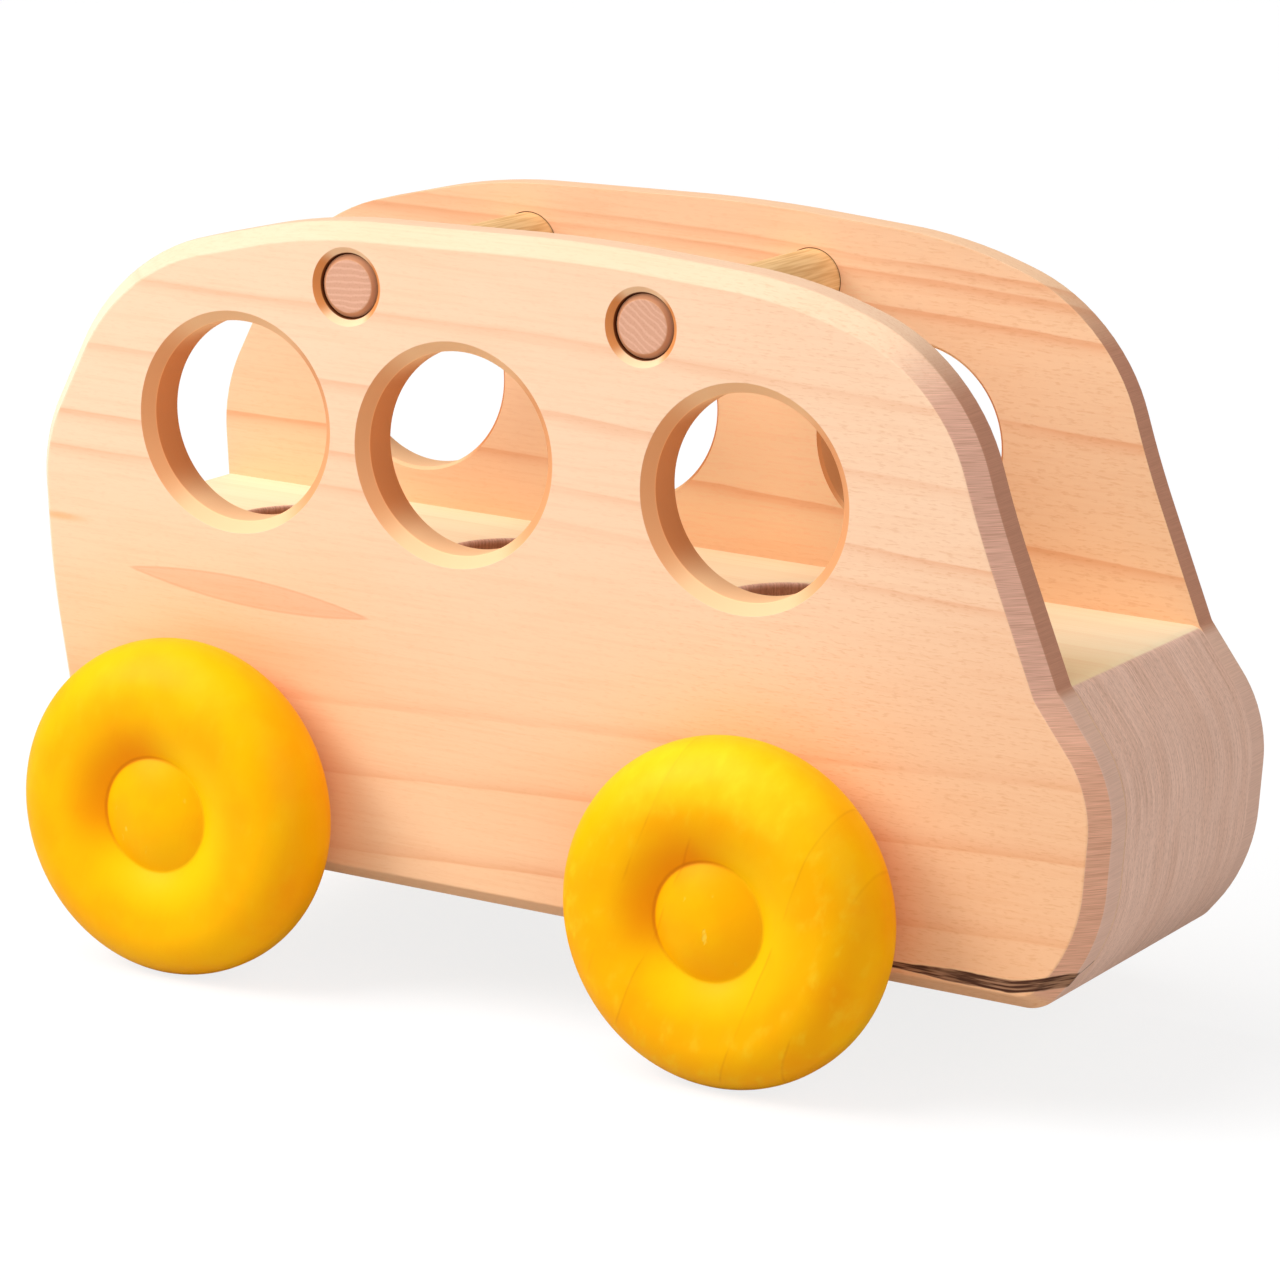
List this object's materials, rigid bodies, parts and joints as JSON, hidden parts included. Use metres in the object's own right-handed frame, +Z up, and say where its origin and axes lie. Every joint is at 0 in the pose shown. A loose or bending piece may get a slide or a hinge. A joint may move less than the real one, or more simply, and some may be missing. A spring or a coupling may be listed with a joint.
{
  "type": "toy bus",
  "caption": "Wooden toy bus with an open roof, round side windows, cross dowels, seats drilled into a solid floor block, and stained turned wheels that roll on through axles.",
  "frame": {"origin": "on the ground under the middle of the bus, midway along its length and across its width", "axes": "+X to the front of the bus, +Y to its left, +Z up"},
  "size_m": [0.2984, 0.156, 0.1935],
  "materials": {
    "panel_wood": "sanded and oiled",
    "block_wood": "sanded and oiled",
    "dowel_wood": "sanded and oiled",
    "axle_wood": "plain turned",
    "wheel_stain": "yellow stain, satin"
  },
  "bodies": {
    "bus_body": {"right_side_panel": "panel_wood", "left_side_panel": "panel_wood", "floor_block": "block_wood", "front_cross_dowel": "dowel_wood", "rear_cross_dowel": "dowel_wood"},
    "front_wheelset": {"front_axle": "axle_wood", "front_right_wheel": "wheel_stain", "front_left_wheel": "wheel_stain"},
    "rear_wheelset": {"rear_axle": "axle_wood", "rear_right_wheel": "wheel_stain", "rear_left_wheel": "wheel_stain"}
  },
  "joints": [
    {"name": "front_axle_spin", "type": "hinge", "parent": "bus_body", "child": "front_wheelset", "pos_m": [0.0606, 0, 0.0425], "axis": [0, 1, 0], "continuous": true},
    {"name": "rear_axle_spin", "type": "hinge", "parent": "bus_body", "child": "rear_wheelset", "pos_m": [-0.095, 0, 0.0425], "axis": [0, 1, 0], "continuous": true}
  ]
}
